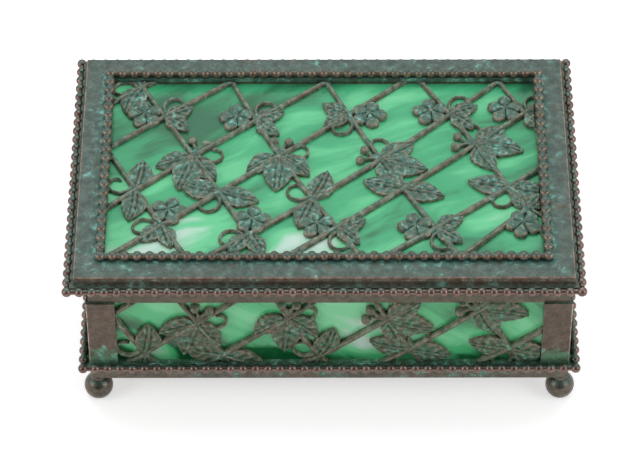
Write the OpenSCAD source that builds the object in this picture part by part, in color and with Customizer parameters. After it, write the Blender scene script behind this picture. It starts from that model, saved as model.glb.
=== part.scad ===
// Glass casket box: a pierced bronze box with glass behind its openwork, beaded
// edges, ball feet and a lid on a knuckle hinge.
// Frame: millimetres, +Z up, the front faces -Y, origin on the standing plane,
// below the middle of the lid.

/* [Body] */
// Width across the corner posts
body_w = 154.8; // [120:0.2:220]
// Depth across the corner posts
body_d = 96.8; // [80:0.2:150]
// Height of the walls and base band together, feet and lid left out
body_h = 44; // [36:0.5:80]
// Thickness of the four pierced wall sheets
wall_t = 1.2; // [0.8:0.1:2]
// Thickness of the floor sheet
floor_t = 1.4; // [1:0.1:3]
// Thickness of the posts and of the base band, which stand proud of the walls
post_t = 0.8; // [0.5:0.1:1.5]
// Depth of the chamfer on the corners of the posts and the edges of the lid plate
edge_ease = 0.3; // [0.1:0.05:0.4]
// Width of each leg of a corner post
post_leg = 9.1; // [6:0.1:14]
// Height of the plain rail above each wall opening
rail_h = 8.6; // [6:0.1:12]
// Height of the base band
band_h = 6.7; // [5:0.1:12]

/* [Lid] */
// How far the lid plate reaches past the posts on the left and right
over_side = 1.6; // [1:0.1:4]
// How far the lid plate reaches past the posts at the front and back
over_front = 1.4; // [1:0.1:4]
// Thickness of the lid plate
plate_t = 1.4; // [1:0.1:2.5]
// Height of the lid from its underside to the top of its plate
lid_h = 5.2; // [4.6:0.1:9]
// Height of the rim ledge
ledge_h = 1.9; // [1.4:0.1:3]
// Width of the plain border between the plate's edge and the panel beading
border = 8.2; // [6:0.1:14]
// Clearance between the closed lid and the top of the walls
lid_gap = 0.2; // [0.1:0.05:0.5]
// How far the lid sits to the left of the body's middle
lid_shift = 1.6; // [0:0.1:1.8]

/* [Beading] */
// Diameter of one bead
bead_d = 3.2; // [2.4:0.1:4.4]
// Aimed distance between beads, fitted to each row
bead_pitch = 3.94; // [3:0.02:5]
// Diameter of the wire between the beads
wire_d = 1.8; // [1:0.1:2.2]
// Distance from the base band to the middle of its beads
base_bead_out = 2.1; // [1.9:0.05:3]
// Height of the middle of the base beads above the fin that carries them
base_bead_up = 0.5; // [0.5:0.05:0.8]
// Distance from the plate's edge to the middle of the rim beads
rim_bead_out = 2.1; // [1.9:0.05:3]
// How far the middle of the rim beads lies below the top of their ledge
rim_bead_down = 0.95; // [0.8:0.05:0.95]
// Height of the middle of the panel beads above the plate
panel_bead_up = 1.35; // [1.2:0.05:1.6]

/* [Glass] */
// Thickness of the glass panes
glass_t = 2.6; // [2:0.1:3.2]
// How far each pane laps behind the edge of its opening
glass_lap = 1.5; // [1:0.1:2.5]
// Thickness of the clips that hold the panes
clip_t = 0.6; // [0.4:0.1:1]
// Width of a clip
clip_w = 6; // [4:0.5:10]
// Aimed distance between the clips along the top of a pane
clip_step = 48; // [30:1:80]
// How far a clip reaches past the edge of its pane and is soldered to the sheet
clip_foot = 3.2; // [2.4:0.1:3.2]
// How far a clip reaches down the back of its pane
clip_hold = 2.6; // [1.5:0.1:4]

/* [Openwork] */
// Thickness of the lid's openwork sheet
sheet_t = 1; // [0.8:0.1:1.6]
// Width of a main stem
stem_w = 1.9; // [1.2:0.1:3]
// Width of a twig
twig_w = 1.3; // [0.8:0.1:2]
// Length of the largest leaf
leaf_l = 15; // [10:0.5:20]
// Diameter of a blossom
blossom_d = 12; // [8:0.5:15]
// Diameter of a berry
berry_d = 3; // [2:0.1:4]
// Half the width of the narrowest gap left open in the openwork
fillet = 0.3; // [0.1:0.05:0.4]
// How far the openwork runs into the sheet round its opening
root = 0.25; // [0.1:0.05:0.5]
// Height of the leaves and blossoms above the sheet
leaf_rise = 0.45; // [0.2:0.05:0.7]

/* [Feet] */
// Diameter of the ball feet
ball_d = 9.4; // [6:0.1:14]
// Diameter of the collar on each ball
collar_d = 5; // [5:0.1:10]
// Height of the collar
collar_h = 1; // [0.6:0.1:3]
// Distance from the body's faces to the middle of a ball
foot_inset = 2.25; // [2:0.05:8]
// Diameter of the rivet that holds a foot to the floor sheet
rivet_d = 2.4; // [1.6:0.1:3]

/* [Hinge] */
// Length of the hinge
hinge_l = 108; // [50:1:110]
// Number of knuckles, an odd number
knuckles = 7; // [3:2:11]
// Diameter of the knuckles
knuckle_d = 3.8; // [3.2:0.1:4.2]
// Diameter of the hinge pin
pin_d = 1.6; // [1:0.1:2]
// Thickness of the hinge leaves
leaf_t = 0.8; // [0.5:0.1:0.8]
// Opening angle at which the heels of the lid's knuckles meet the back wall
open_max = 100; // [90:1:110]

/* [Hidden] */
$fn = 48;

// small clearances
fit = 0.05;          // radial, on the hinge pin and in the rivet holes
run = 0.3;           // between the lid's moving pieces and the body
bead_r = bead_d / 2;
wire_r = wire_d / 2;
seat = wire_r - 0.1;   // from a bead line to the flat that is soldered to its strip

// heights of the body
ball_flat = 0.15;                       // depth of the flat worn on each ball
ball_z = ball_d / 2 - ball_flat;
ball_sink = 0.25;                       // how far each ball sinks into its collar
base_z = ball_z + ball_d / 2 - ball_sink + collar_h;
floor_z = base_z + floor_t;
band_top = base_z + band_h;
wall_top = base_z + body_h;
open_top = wall_top - rail_h;
open_bottom = band_top + 0.3;            // a strip of the wall shows above the band
fin_t = 1.4;                            // thickness of the fin that carries the base beading
base_bead_z = band_top + base_bead_up;

// half sizes of the body, as [across X, across Y]
post_half = [body_w, body_d] / 2;
wall_half = post_half - [post_t, post_t];
in_half = wall_half - [wall_t, wall_t];
base_bead_half = post_half + [base_bead_out, base_bead_out];
open_half = post_half - [post_leg, post_leg];
pane_top = open_top + 3;                 // the panes reach up behind the rail

// heights and half sizes of the lid
lid_z = wall_top + lid_gap;
plate_top = lid_z + lid_h;
plate_z = plate_top - plate_t;
ledge_top = lid_z + ledge_h;
rim_bead_z = ledge_top - rim_bead_down;
plate_half = post_half + [over_side, over_front];
rim_bead_half = plate_half + [rim_bead_out, rim_bead_out];
panel_bead_half = plate_half - [border, border];
panel_bead_z = plate_top + panel_bead_up;
panel_half = panel_bead_half - [bead_r - run, bead_r - run];
pane_half = panel_half + [glass_lap, glass_lap];
rim_in_half = pane_half + [run, run];
lid_glass_t = plate_z - sheet_t - lid_z;

// hinge
knuckle_r = knuckle_d / 2;
bore_r = pin_d / 2 + fit;
hinge_y = wall_half[1] + run + knuckle_r;
hinge_z = lid_z - run - knuckle_r;
knuckle_gap = 0.2;
knuckle_l = (hinge_l - (knuckles - 1) * knuckle_gap) / knuckles;
heel_reach = knuckle_r + run - 0.1;     // distance from the pin to the flat of a heel
heel_l = 1.2;                           // length of the flat of a heel
heel_r = norm([heel_reach, heel_l]);    // circle that a heel sweeps

// colours
bronze = [0.33, 0.29, 0.25];
brown = [0.38, 0.29, 0.25];
verdigris = [0.33, 0.43, 0.39];
green_glass = [0.35, 0.78, 0.50];

// ---------------------------------------------------------------- placing

// Four sides, counted front, right, back, left; each is drawn as a front side.
module side(i) { rotate([0, 0, 90 * i]) children(); }
// Half length along side i, and half distance from the middle to its face.
function along(half, i) = half[i % 2];
function away(half, i) = half[(i + 1) % 2];
// The lid and what it carries.
module on_lid() { children(); }
// The body stands to the right of the lid's middle.
module on_body() { translate([lid_shift, 0, 0]) children(); }

// A straight strip on side i, mitred at both ends. The profile is drawn with X
// outwards from the face at `half` and Y upwards.
module mitred_strip(half, i, reach_out, reach_in) {
  a = along(half, i);
  b = away(half, i);
  tall = 200;
  side(i) intersection() {
    translate([-a - reach_out, -b, 0]) rotate([90, 0, 90])
      linear_extrude(2 * (a + reach_out)) mirror([1, 0]) children();
    translate([0, 0, -tall / 2]) linear_extrude(tall)
      polygon([[-a - reach_out, -b - reach_out], [a + reach_out, -b - reach_out],
               [a - reach_in, -b + reach_in], [-a + reach_in, -b + reach_in]]);
  }
}

// ---------------------------------------------------------------- beading

// A row of beads on a wire, from -a to a along X, turned about its axis. The long
// rows own the corner beads, the short rows stop just before them.
module bead_row(a, corners) {
  n = round(2 * a / bead_pitch);
  step = 2 * a / n;
  first = corners ? 0 : 1;
  reach = corners ? a : a - bead_r - fit;
  rotate([0, -90, 0]) rotate_extrude() intersection() {
    union() {
      translate([0, -reach]) square([wire_r, 2 * reach]);
      for (i = [first : n - first]) translate([0, -a + i * step]) circle(r = bead_r);
    }
    translate([0, -a - bead_d]) square([bead_d, 2 * (a + bead_d)]);
  }
}

// The bead row of side i, less the strip of metal it is soldered to, which ends
// just inside the bead line and lies between z0 and z1.
module beading(half, i, z, z0, z1) {
  a = along(half, i);
  b = away(half, i);
  side(i) difference() {
    translate([0, -b, z]) bead_row(a, i % 2 == 0);
    translate([-a + seat, -b + seat, z0]) cube([2 * (a - seat), 2 * bead_r, z1 - z0]);
  }
}

// ---------------------------------------------------------------- openwork

// A repeatable value between lo and hi for each whole number i.
function pick(i, lo, hi) = let (v = sin(i * 127.1 + 31.7) * 437.585)
  lo + (hi - lo) * (v - floor(v));
function normal(p, i) = let (d = p[min(i + 1, len(p) - 1)] - p[max(i - 1, 0)])
  [-d[1], d[0]] / norm(d);

// A line with a width that runs from w0 to w1.
module stroke(p, w0, w1) {
  n = len(p) - 1;
  polygon(concat(
    [for (i = [0 : n]) p[i] + normal(p, i) * (w0 + (w1 - w0) * i / n) / 2],
    [for (i = [n : -1 : 0]) p[i] - normal(p, i) * (w0 + (w1 - w0) * i / n) / 2]));
}

// Two families of branches cross each panel of height h, one rising to the right
// and one falling. Branch j of family f passes through height y at branch_x().
branch_tilt = [40, -62];
branch_step = [28, 30];
function branch_run(f, h) = h / tan(branch_tilt[f]);
function branch_bow(f, j, h) = pick(j * 13 + f * 7, -0.06, 0.06) * h;
function branch_mid(f, j) = (j + 0.25 + 0.5 * f) * branch_step[f] + pick(j * 17 + f * 5, -3, 3);
function branch_x(f, j, h, y) = branch_mid(f, j) + branch_run(f, h) * y / h
  + branch_bow(f, j, h) * cos(180 * y / h);
function branch_count(f, w, h) = ceil((w + abs(branch_run(f, h))) / 2 / branch_step[f]);
// Height at which rising branch i and falling branch j cross, by repeated trial.
function crossing_y(i, j, h, y = 0, tries = 5) = tries == 0 ? y :
  crossing_y(i, j, h, -h * (branch_mid(0, i) - branch_mid(1, j)
    + (branch_bow(0, i, h) - branch_bow(1, j, h)) * cos(180 * max(-0.5, min(0.5, y / h))))
    / (branch_run(0, h) - branch_run(1, h)), tries - 1);

module branches(w, h) {
  n = ceil(h / 14);
  for (f = [0, 1], j = [-branch_count(f, w, h) : branch_count(f, w, h)])
    stroke([for (k = [0 : n]) let (y = (h + 1) * (k / n - 0.5)) [branch_x(f, j, h, y), y]],
      stem_w, stem_w * 0.8);
}

// Runs its children at each crossing in the panel, with $q a number of its own,
// $kind what grows there and $d the bearing it grows in.
module at_crossings(w, h) {
  for (i = [-branch_count(0, w, h) : branch_count(0, w, h)],
       j = [-branch_count(1, w, h) : branch_count(1, w, h)]) {
    y = crossing_y(i, j, h);
    x = branch_x(0, i, h, y);
    if (abs(y) < h / 2 - 1 && abs(x) < w / 2 + 1) {
      $q = i * 31 + j * 57;
      $kind = (i * 2 + j + 30) % 3;
      $d = 79 + 90 * floor(pick($q, 0, 4)) + pick($q + 1, -12, 12);
      translate([x, y]) rotate($d) children();
    }
  }
}

// Leaf of length l from its stalk at the origin, pointing along X.
function leaf_half(t, l) = 0.31 * l * pow(sin(180 * pow(t, 0.75)), 0.8);
module leaf(l) {
  n = 5;
  polygon(concat([for (i = [0 : n]) [l * i / n, leaf_half(i / n, l) + 0.3 * (1 - i / n)]],
    [for (i = [n - 1 : -1 : 0]) [l * i / n, -leaf_half(i / n, l) - 0.3 * (1 - i / n)]]));
}
// The leaves that grow at a crossing, each placed and given its length.
module spray() {
  if ($kind == 0) for (a = [-52, 0, 52])
    rotate(a) translate([0.8, 0]) { $l = leaf_l * (a == 0 ? 1 : 0.82); children(); }
  if ($kind == 1) for (a = [150, 215])
    rotate(a) translate([0.8, 0]) { $l = leaf_l * 0.62; children(); }
  if ($kind == 2) for (a = [-8, 172])
    rotate(a) translate([0.8, 0]) { $l = leaf_l * 0.85; children(); }
}
// A five-petalled blossom, on the crossings of the second kind.
module blossom(r) {
  if ($kind == 1) translate([0.55 * blossom_d, 0]) polygon([for (i = [0 : 19]) let (t = i * 18)
    r * (0.62 + 0.38 * pow(abs(cos(2.5 * t)), 0.7)) * [cos(t), sin(t)]]);
}
// Two berries on a forked twig, and a curled tendril, opposite the leaves.
module berries() {
  if ($kind == 0) for (s = [-1, 1]) {
    tip = [-0.42 * leaf_l, s * 0.16 * leaf_l];
    stroke([[0, 0], [-0.22 * leaf_l, s * 0.03 * leaf_l], tip], twig_w, twig_w * 0.8);
    translate(tip) circle(d = berry_d, $fn = 8);
  }
}
module tendril() {
  s = $q % 2 == 0 ? 1 : -1;
  r = 0.3 * leaf_l;
  stroke([for (k = [0 : 7]) let (a = k * 42 - 90, g = r * (1 - 0.07 * k))
    [-r * 0.6, s * r * 1.2] + g * [cos(a), s * sin(a)] + [0, s * (r - g) * 0.3]],
    twig_w, twig_w * 0.6);
}

// All openwork of a panel as one flat shape; gaps narrower than twice `fillet`
// are closed, as they are in a casting.
module openwork_2d(w, h) {
  offset(delta = -fillet) offset(delta = fillet) {
    branches(w, h);
    at_crossings(w, h) {
      spray() leaf($l);
      blossom(blossom_d / 2);
      berries();
      tendril();
    }
  }
}
// The leaves and blossoms, which stand a step above the sheet.
module raised_2d(w, h) {
  offset(delta = -0.3) intersection() {
    square([w, h], center = true);
    at_crossings(w, h) {
      spray() leaf($l);
      blossom(blossom_d / 2);
    }
  }
}

// A sheet with an opening of size w by h that holds the openwork. The children
// are the sheet's outline.
module pierced_sheet(w, h, t) {
  linear_extrude(t) offset(delta = 0) {
    difference() {
      children();
      square([w, h], center = true);
    }
    intersection() {
      square([w + 2 * root, h + 2 * root], center = true);
      openwork_2d(w, h);
    }
  }
  translate([0, 0, t / 2]) linear_extrude(t / 2 + leaf_rise) raised_2d(w, h);
}

// ---------------------------------------------------------------- body

module base_plate() {
  color(bronze) on_body() difference() {
    translate([-wall_half[0], -wall_half[1], base_z])
      cube([2 * wall_half[0], 2 * wall_half[1], floor_t]);
    for (x = [-1, 1], y = [-1, 1])
      at_foot(x, y) translate([0, 0, base_z - 1]) cylinder(d = rivet_d + 2 * fit, h = floor_t + 2);
  }
}

module base_band(i) {
  color(verdigris) on_body() mitred_strip(wall_half, i, post_t + base_bead_out, 0)
    polygon([[0, base_z], [post_t, base_z], [post_t, band_top - fin_t],
             [post_t + base_bead_out - seat, band_top - fin_t],
             [post_t + base_bead_out - seat, band_top], [0, band_top]]);
}

module base_beading(i) {
  color(brown) on_body()
    beading(base_bead_half, i, base_bead_z, band_top - fin_t, band_top);
}

// Wall sheet of side i. The front and back sheets run the full width, the side
// sheets stand between them.
module wall(i) {
  a = i % 2 == 0 ? wall_half[0] : in_half[1];
  b = away(wall_half, i);
  w = 2 * along(open_half, i);
  h = open_top - open_bottom;
  mid_z = (open_top + open_bottom) / 2;
  color(brown) on_body() side(i) difference() {
    translate([0, -b + wall_t, mid_z]) rotate([90, 0, 0])
      pierced_sheet(w, h, wall_t)
        translate([-a, floor_z - mid_z]) square([2 * a, wall_top - floor_z]);
    if (i == 2) translate([-hinge_l / 2 - run, -b - 1, lid_z - leaf_t - run])
      cube([hinge_l + 2 * run, wall_t + 2, 10]);
  }
}

// Draws the back right corner's piece at the corner that the signs sx and sy give.
module at_corner(sx, sy) {
  mirror([sx < 0 ? 1 : 0, 0, 0]) mirror([0, sy < 0 ? 1 : 0, 0]) children();
}
// L-shaped corner post.
module post(sx, sy) {
  color(brown) on_body() at_corner(sx, sy) translate([0, 0, band_top])
    linear_extrude(open_top - band_top) difference() {
      translate(post_half - [post_leg, post_leg]) square(post_leg);
      translate(wall_half - [2 * post_leg, 2 * post_leg]) square(2 * post_leg);
      translate(post_half) rotate(45) square(edge_ease * sqrt(2), center = true);
    }
}

module glass(i) {
  a = along(open_half, i) + glass_lap;
  b = away(in_half, i);
  color(green_glass) on_body() side(i) translate([-a, -b, floor_z])
    cube([2 * a, glass_t, pane_top - floor_z]);
}

// A clip in section: soldered to the sheet above the pane, folded over its edge
// and down its back. X runs inwards from the sheet, Y upwards from the edge.
module clip_section() {
  polygon([[0, 0], [0, clip_foot], [clip_t, clip_foot], [clip_t, clip_t],
           [glass_t + clip_t, clip_t], [glass_t + clip_t, -clip_hold],
           [glass_t, -clip_hold], [glass_t, 0]]);
}
module clip() { rotate([90, 0, 90]) linear_extrude(clip_w, center = true) clip_section(); }

module clips(i) {
  a = along(open_half, i) + glass_lap;
  b = away(in_half, i);
  n = round(2 * a / clip_step);
  color(bronze) on_body() side(i) translate([0, -b, 0]) {
    for (j = [0 : n - 1])
      translate([(j - (n - 1) / 2) * 2 * a / n, 0, pane_top]) clip();
    for (s = [-1, 1])
      translate([s * a, 0, (floor_z + pane_top) / 2]) rotate([0, s * 90, 0]) clip();
  }
}

// ---------------------------------------------------------------- feet

module at_foot(sx, sy) {
  translate([sx * (post_half[0] - foot_inset), sy * (post_half[1] - foot_inset), 0]) children();
}
module foot(sx, sy) {
  collar_z = base_z - collar_h;
  neck_r = rivet_d;
  color(verdigris) on_body() at_foot(sx, sy) {
    difference() {
      translate([0, 0, ball_z]) sphere(d = ball_d);
      translate([0, 0, -ball_d]) cylinder(d = ball_d * 2, h = ball_d);
    }
    translate([0, 0, ball_z]) cylinder(r = neck_r, h = collar_z - ball_z + fit);
    translate([0, 0, collar_z]) cylinder(d = collar_d, h = collar_h);
    translate([0, 0, collar_z]) cylinder(d = rivet_d, h = collar_h + floor_t);
  }
}

// ---------------------------------------------------------------- hinge

// Places knuckle j along the pin.
module at_knuckle(j) {
  translate([-hinge_l / 2 + j * (knuckle_l + knuckle_gap), hinge_y, hinge_z])
    rotate([90, 0, 90]) children();
}

module body_hinge_leaf() {
  leaf_z = open_top + 1;
  color(bronze) on_body() difference() {
    union() {
      translate([-hinge_l / 2, wall_half[1], leaf_z]) cube([hinge_l, leaf_t, hinge_z - leaf_z]);
      for (j = [0 : 2 : knuckles - 1]) at_knuckle(j) cylinder(r = knuckle_r, h = knuckle_l);
    }
    for (j = [1 : 2 : knuckles - 2]) at_knuckle(j) translate([0, 0, -knuckle_gap])
      cylinder(r = heel_r + knuckle_gap, h = knuckle_l + 2 * knuckle_gap);
    translate([-hinge_l / 2 - 1, hinge_y, hinge_z]) rotate([0, 90, 0])
      cylinder(r = bore_r, h = hinge_l + 2);
  }
}

// The pin, with a riveted head at each end.
module hinge_pin() {
  head_t = 0.5;
  color(bronze) on_body() translate([-hinge_l / 2, hinge_y, hinge_z]) rotate([0, 90, 0]) {
    cylinder(d = pin_d, h = hinge_l);
    for (z = [-head_t, hinge_l]) translate([0, 0, z]) cylinder(d = pin_d + 1, h = head_t);
  }
}

// The lid's leaf lies under the back rim and reaches out over the wall in a notch. A
// tab joins it to each knuckle. Each knuckle has a heel, whose flat meets the back
// wall when the lid is open_max degrees open.
module lid_hinge_leaf() {
  leaf_y = rim_in_half[1] + 2;
  tab = knuckle_r - 0.2;
  color(bronze) on_body() union() {
    translate([-hinge_l / 2, leaf_y, lid_z - leaf_t])
      cube([hinge_l, hinge_y - tab - leaf_y, leaf_t]);
    for (j = [1 : 2 : knuckles - 2]) at_knuckle(j) linear_extrude(knuckle_l) difference() {
      union() {
        circle(r = knuckle_r);
        translate([-tab, 0]) square([tab, lid_z - hinge_z]);
        rotate(open_max - 90) translate([0, -heel_reach]) square([heel_l, heel_reach]);
      }
      circle(r = bore_r);
    }
  }
}

// ---------------------------------------------------------------- lid

module lid_plate() {
  color(verdigris) on_lid() difference() {
    translate([0, 0, plate_z]) linear_extrude(plate_t) difference() {
      square(2 * plate_half, center = true);
      square(2 * panel_half, center = true);
    }
    for (i = [0 : 3]) side(i) translate([0, -away(plate_half, i), plate_top]) rotate([45, 0, 0])
      cube([3 * along(plate_half, i), edge_ease * sqrt(2), edge_ease * sqrt(2)], center = true);
  }
}

// Rim of side i: the bar under the plate and the ledge that carries the beading.
module rim(i) {
  depth = plate_half[0] - rim_in_half[0];
  ledge = rim_bead_out - seat;
  color(brown) on_lid() mitred_strip(plate_half, i, rim_bead_out, depth)
    polygon([[-depth, lid_z], [ledge, lid_z], [ledge, ledge_top], [0, ledge_top],
             [0, plate_z], [-depth, plate_z]]);
}

module rim_beading(i) {
  color(brown) on_lid() beading(rim_bead_half, i, rim_bead_z, lid_z, ledge_top);
}

module panel_beading(i) {
  a = along(panel_bead_half, i);
  b = away(panel_bead_half, i);
  color(brown) on_lid() side(i) difference() {
    translate([0, -b, panel_bead_z]) bead_row(a, i % 2 == 0);
    translate([-a - bead_d, -b - bead_d, plate_top - bead_d])
      cube([2 * (a + bead_d), 2 * bead_d, bead_d]);
  }
}

module lid_openwork() {
  color(brown) on_lid() translate([0, 0, plate_z - sheet_t])
    pierced_sheet(2 * panel_half[0], 2 * panel_half[1], sheet_t)
      square(2 * pane_half, center = true);
}

module lid_glass() {
  color(green_glass) on_lid() translate([-pane_half[0], -pane_half[1], lid_z])
    cube([2 * pane_half[0], 2 * pane_half[1], lid_glass_t]);
}

// Tabs soldered under the rim, which hold the pane up against the openwork.
module lid_clips() {
  under_pane = 1.5;
  under_rim = 1.4;
  color(bronze) on_lid() for (i = [0 : 3]) {
    a = along(panel_half, i);
    n = round(2 * a / clip_step);
    side(i) for (j = [0 : n - 1])
      translate([(j - (n - 1) / 2) * 2 * a / n - clip_w / 2,
                 -away(rim_in_half, i) - under_rim, lid_z - clip_t])
        cube([clip_w, under_rim + run + under_pane, clip_t]);
  }
}

// ---------------------------------------------------------------- assembly

base_plate();
base_band(0);  // base_band_front
base_band(1);  // base_band_right
base_band(2);  // base_band_back
base_band(3);  // base_band_left
base_beading(0);  // base_beading_front
base_beading(1);  // base_beading_right
base_beading(2);  // base_beading_back
base_beading(3);  // base_beading_left
wall(0);  // wall_front
wall(1);  // wall_right
wall(2);  // wall_back
wall(3);  // wall_left
post(-1, -1);  // post_front_left
post(1, -1);  // post_front_right
post(1, 1);  // post_back_right
post(-1, 1);  // post_back_left
glass(0);  // glass_front
glass(1);  // glass_right
glass(2);  // glass_back
glass(3);  // glass_left
clips(0);  // clips_front
clips(1);  // clips_right
clips(2);  // clips_back
clips(3);  // clips_left
foot(-1, -1);  // foot_front_left
foot(1, -1);  // foot_front_right
foot(1, 1);  // foot_back_right
foot(-1, 1);  // foot_back_left
body_hinge_leaf();
hinge_pin();
lid_plate();
rim(0);  // rim_front
rim(1);  // rim_right
rim(2);  // rim_back
rim(3);  // rim_left
rim_beading(0);  // rim_beading_front
rim_beading(1);  // rim_beading_right
rim_beading(2);  // rim_beading_back
rim_beading(3);  // rim_beading_left
panel_beading(0);  // panel_beading_front
panel_beading(1);  // panel_beading_right
panel_beading(2);  // panel_beading_back
panel_beading(3);  // panel_beading_left
lid_openwork();
lid_glass();
lid_clips();
lid_hinge_leaf();
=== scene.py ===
"""Looks of the glass casket box: aged bronze openwork over marbled green glass.

Lengths are in metres in the CAD frame, and one written in millimetres carries MM. The sizes, the pattern
and the surfaces are in millimetres all through, until new_piece makes metres of them.
"""

import math

import bpy
import numpy as np
from mathutils import Matrix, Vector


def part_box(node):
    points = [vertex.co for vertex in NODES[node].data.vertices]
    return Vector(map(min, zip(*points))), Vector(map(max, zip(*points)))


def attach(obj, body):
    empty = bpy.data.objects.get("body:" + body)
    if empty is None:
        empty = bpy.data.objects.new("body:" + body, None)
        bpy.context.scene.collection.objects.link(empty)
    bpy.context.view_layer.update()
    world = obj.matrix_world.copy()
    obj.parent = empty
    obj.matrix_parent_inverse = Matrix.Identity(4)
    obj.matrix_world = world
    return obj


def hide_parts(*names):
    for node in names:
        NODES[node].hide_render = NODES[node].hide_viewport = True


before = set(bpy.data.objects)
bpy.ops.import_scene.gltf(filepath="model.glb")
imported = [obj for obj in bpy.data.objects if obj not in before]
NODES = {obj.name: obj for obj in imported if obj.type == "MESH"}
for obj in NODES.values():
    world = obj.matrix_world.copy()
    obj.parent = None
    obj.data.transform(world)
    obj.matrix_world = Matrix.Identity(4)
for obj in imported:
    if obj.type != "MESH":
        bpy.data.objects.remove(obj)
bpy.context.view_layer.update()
MM = 0.001
SIDES = ("front", "right", "back", "left")
CORNERS = ("front_left", "front_right", "back_right", "back_left")

# ------------------------------------------------------------------ camera and studio


def place_camera():
    """A long lens 1.11 m from the lid, 46.4 degrees above the table, placed by the bead rows and corners.
    Its axis passes a little to the left of the target and below it. The focal length is in pixels of the
    picture."""
    picture_width, focal = 640.0, 3418.0
    elevation, turn, roll = math.radians(46.43), 0.0008, -0.0017
    distance, left, low = 1110.15 * MM, 2.97 * MM, 18.4 * MM
    target = (1.6 * MM, 0, 55.3 * MM)
    right = np.array([1.0, 0.0, 0.0])
    up = np.array([0.0, math.sin(elevation), math.cos(elevation)])
    ahead = np.array([0.0, math.cos(elevation), -math.sin(elevation)])
    eye = -(left * right + low * up + distance * ahead)
    across = math.cos(roll) * right + math.sin(roll) * up
    upright = math.cos(roll) * up - math.sin(roll) * right
    pose = Matrix.Identity(4)
    for column, axis in enumerate((across, upright, -ahead, eye)):
        for row in range(3):
            pose[row][column] = axis[row]
    data = bpy.data.cameras.new("studio_camera")
    data.sensor_width = 36.0
    data.lens = focal * data.sensor_width / picture_width
    data.clip_start, data.clip_end = 0.05, 20.0
    camera = bpy.data.objects.new("studio_camera", data)
    bpy.context.scene.collection.objects.link(camera)
    camera.matrix_world = Matrix.Translation(target) @ Matrix.Rotation(turn, 4, "Z") @ pose
    bpy.context.scene.camera = camera


def softbox(name, place, aim, width, depth, watts):
    """An area lamp of width by depth at place, facing aim."""
    data = bpy.data.lights.new(name, "AREA")
    data.shape, data.size, data.size_y, data.energy = "RECTANGLE", width, depth, watts
    lamp = bpy.data.objects.new(name, data)
    bpy.context.scene.collection.objects.link(lamp)
    away = np.array(place, float) - np.array(aim, float)
    away /= np.linalg.norm(away)
    side = np.cross((0.0, 1.0, 0.0) if abs(away[1]) < 0.9 else (0.0, 0.0, 1.0), away)
    side /= np.linalg.norm(side)
    up = np.cross(away, side)
    rows = np.vstack([np.column_stack([side, up, away, place]), [0, 0, 0, 1]])
    lamp.matrix_world = Matrix([[*row] for row in rows])


class Net:
    """Adds nodes to one tree. A value given for an input is either a number or another node's output."""

    def __init__(self, tree):
        self.tree = tree

    def node(self, kind, inputs=None, **settings):
        made = self.tree.nodes.new(kind)
        for key, value in settings.items():
            setattr(made, key, value)
        for key, value in (inputs or {}).items():
            if isinstance(value, bpy.types.NodeSocket):
                self.tree.links.new(value, made.inputs[key])
            else:
                made.inputs[key].default_value = value
        return made

    def math(self, operation, a, b=0.0, clamp=False):
        return self.node("ShaderNodeMath", {0: a, 1: b}, operation=operation, use_clamp=clamp).outputs[0]

    def less(self, value, amount):
        return self.math("SUBTRACT", value, amount)

    def times(self, a, b):
        return self.math("MULTIPLY", a, b)

    def most(self, a, b):
        return self.math("MAXIMUM", a, b)

    def vector(self, operation, a, b=(0.0, 0.0, 0.0)):
        return self.node("ShaderNodeVectorMath", {0: a, 1: b}, operation=operation).outputs

    def scaled(self, a, scale):
        return self.node("ShaderNodeVectorMath", {0: a, "Scale": scale}, operation="SCALE").outputs[0]

    def ramp(self, value, low, high, to_low=0.0, to_high=1.0):
        """A smooth step of value from low to high."""
        return self.node("ShaderNodeMapRange", {"Value": value, "From Min": low, "From Max": high,
                                                "To Min": to_low, "To Max": to_high},
                         interpolation_type="SMOOTHSTEP").outputs[0]

    def mix(self, share, a, b, blend="MIX"):
        mixed = self.node("ShaderNodeMix", {0: share, 6: a, 7: b}, data_type="RGBA", blend_type=blend)
        return mixed.outputs[2]

    def seen(self):
        """1 for what the camera, a mirror or clear glass shows, 0 for what only lights the box."""
        path = self.node("ShaderNodeLightPath").outputs
        beyond = self.most(path["Is Glossy Ray"], path["Is Transmission Ray"])
        return self.most(path["Is Camera Ray"], beyond)

    def total(self, *terms):
        """The sum of value times weight over the terms."""
        value = self.times(*terms[0])
        for term in terms[1:]:
            value = self.math("ADD", value, self.times(*term))
        return value

    def noise(self, where, scale, detail=3.0, rough=0.5, distortion=0.0):
        return self.node("ShaderNodeTexNoise", {"Vector": where, "Scale": scale, "Detail": detail,
                                                "Roughness": rough, "Distortion": distortion}).outputs["Fac"]


def tone(red, green, blue):
    """A colour written in the 0 to 255 of a picture, as linear RGBA by the usual curve of screens."""
    value = np.array([red, green, blue]) / 255.0
    value = np.where(value <= 0.04045, value / 12.92, ((value + 0.055) / 1.055) ** 2.4)
    return (*value.tolist(), 1.0)


def build_table():
    """A white table that keeps the box's shadow and glows a little where it is seen."""
    half, glow = 6.0, 0.55
    mesh = bpy.data.meshes.new("table")
    points = [(-half, -half, 0), (half, -half, 0), (half, half, 0), (-half, half, 0)]
    mesh.from_pydata(points, [], [(0, 1, 2, 3)])
    table = bpy.data.objects.new("table", mesh)
    bpy.context.scene.collection.objects.link(table)
    white = bpy.data.materials.new("table_white")
    white.use_nodes = True
    net = Net(white.node_tree)
    white.node_tree.nodes.clear()
    matt = net.node("ShaderNodeBsdfDiffuse", {"Color": (0.82, 0.82, 0.82, 1)})
    lit = net.node("ShaderNodeEmission", {"Color": (1, 1, 1, 1), "Strength": net.times(net.seen(), glow)})
    both = net.node("ShaderNodeAddShader", {0: matt.outputs[0], 1: lit.outputs[0]})
    net.node("ShaderNodeOutputMaterial", {"Surface": both.outputs[0]})
    mesh.materials.append(white)


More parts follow.
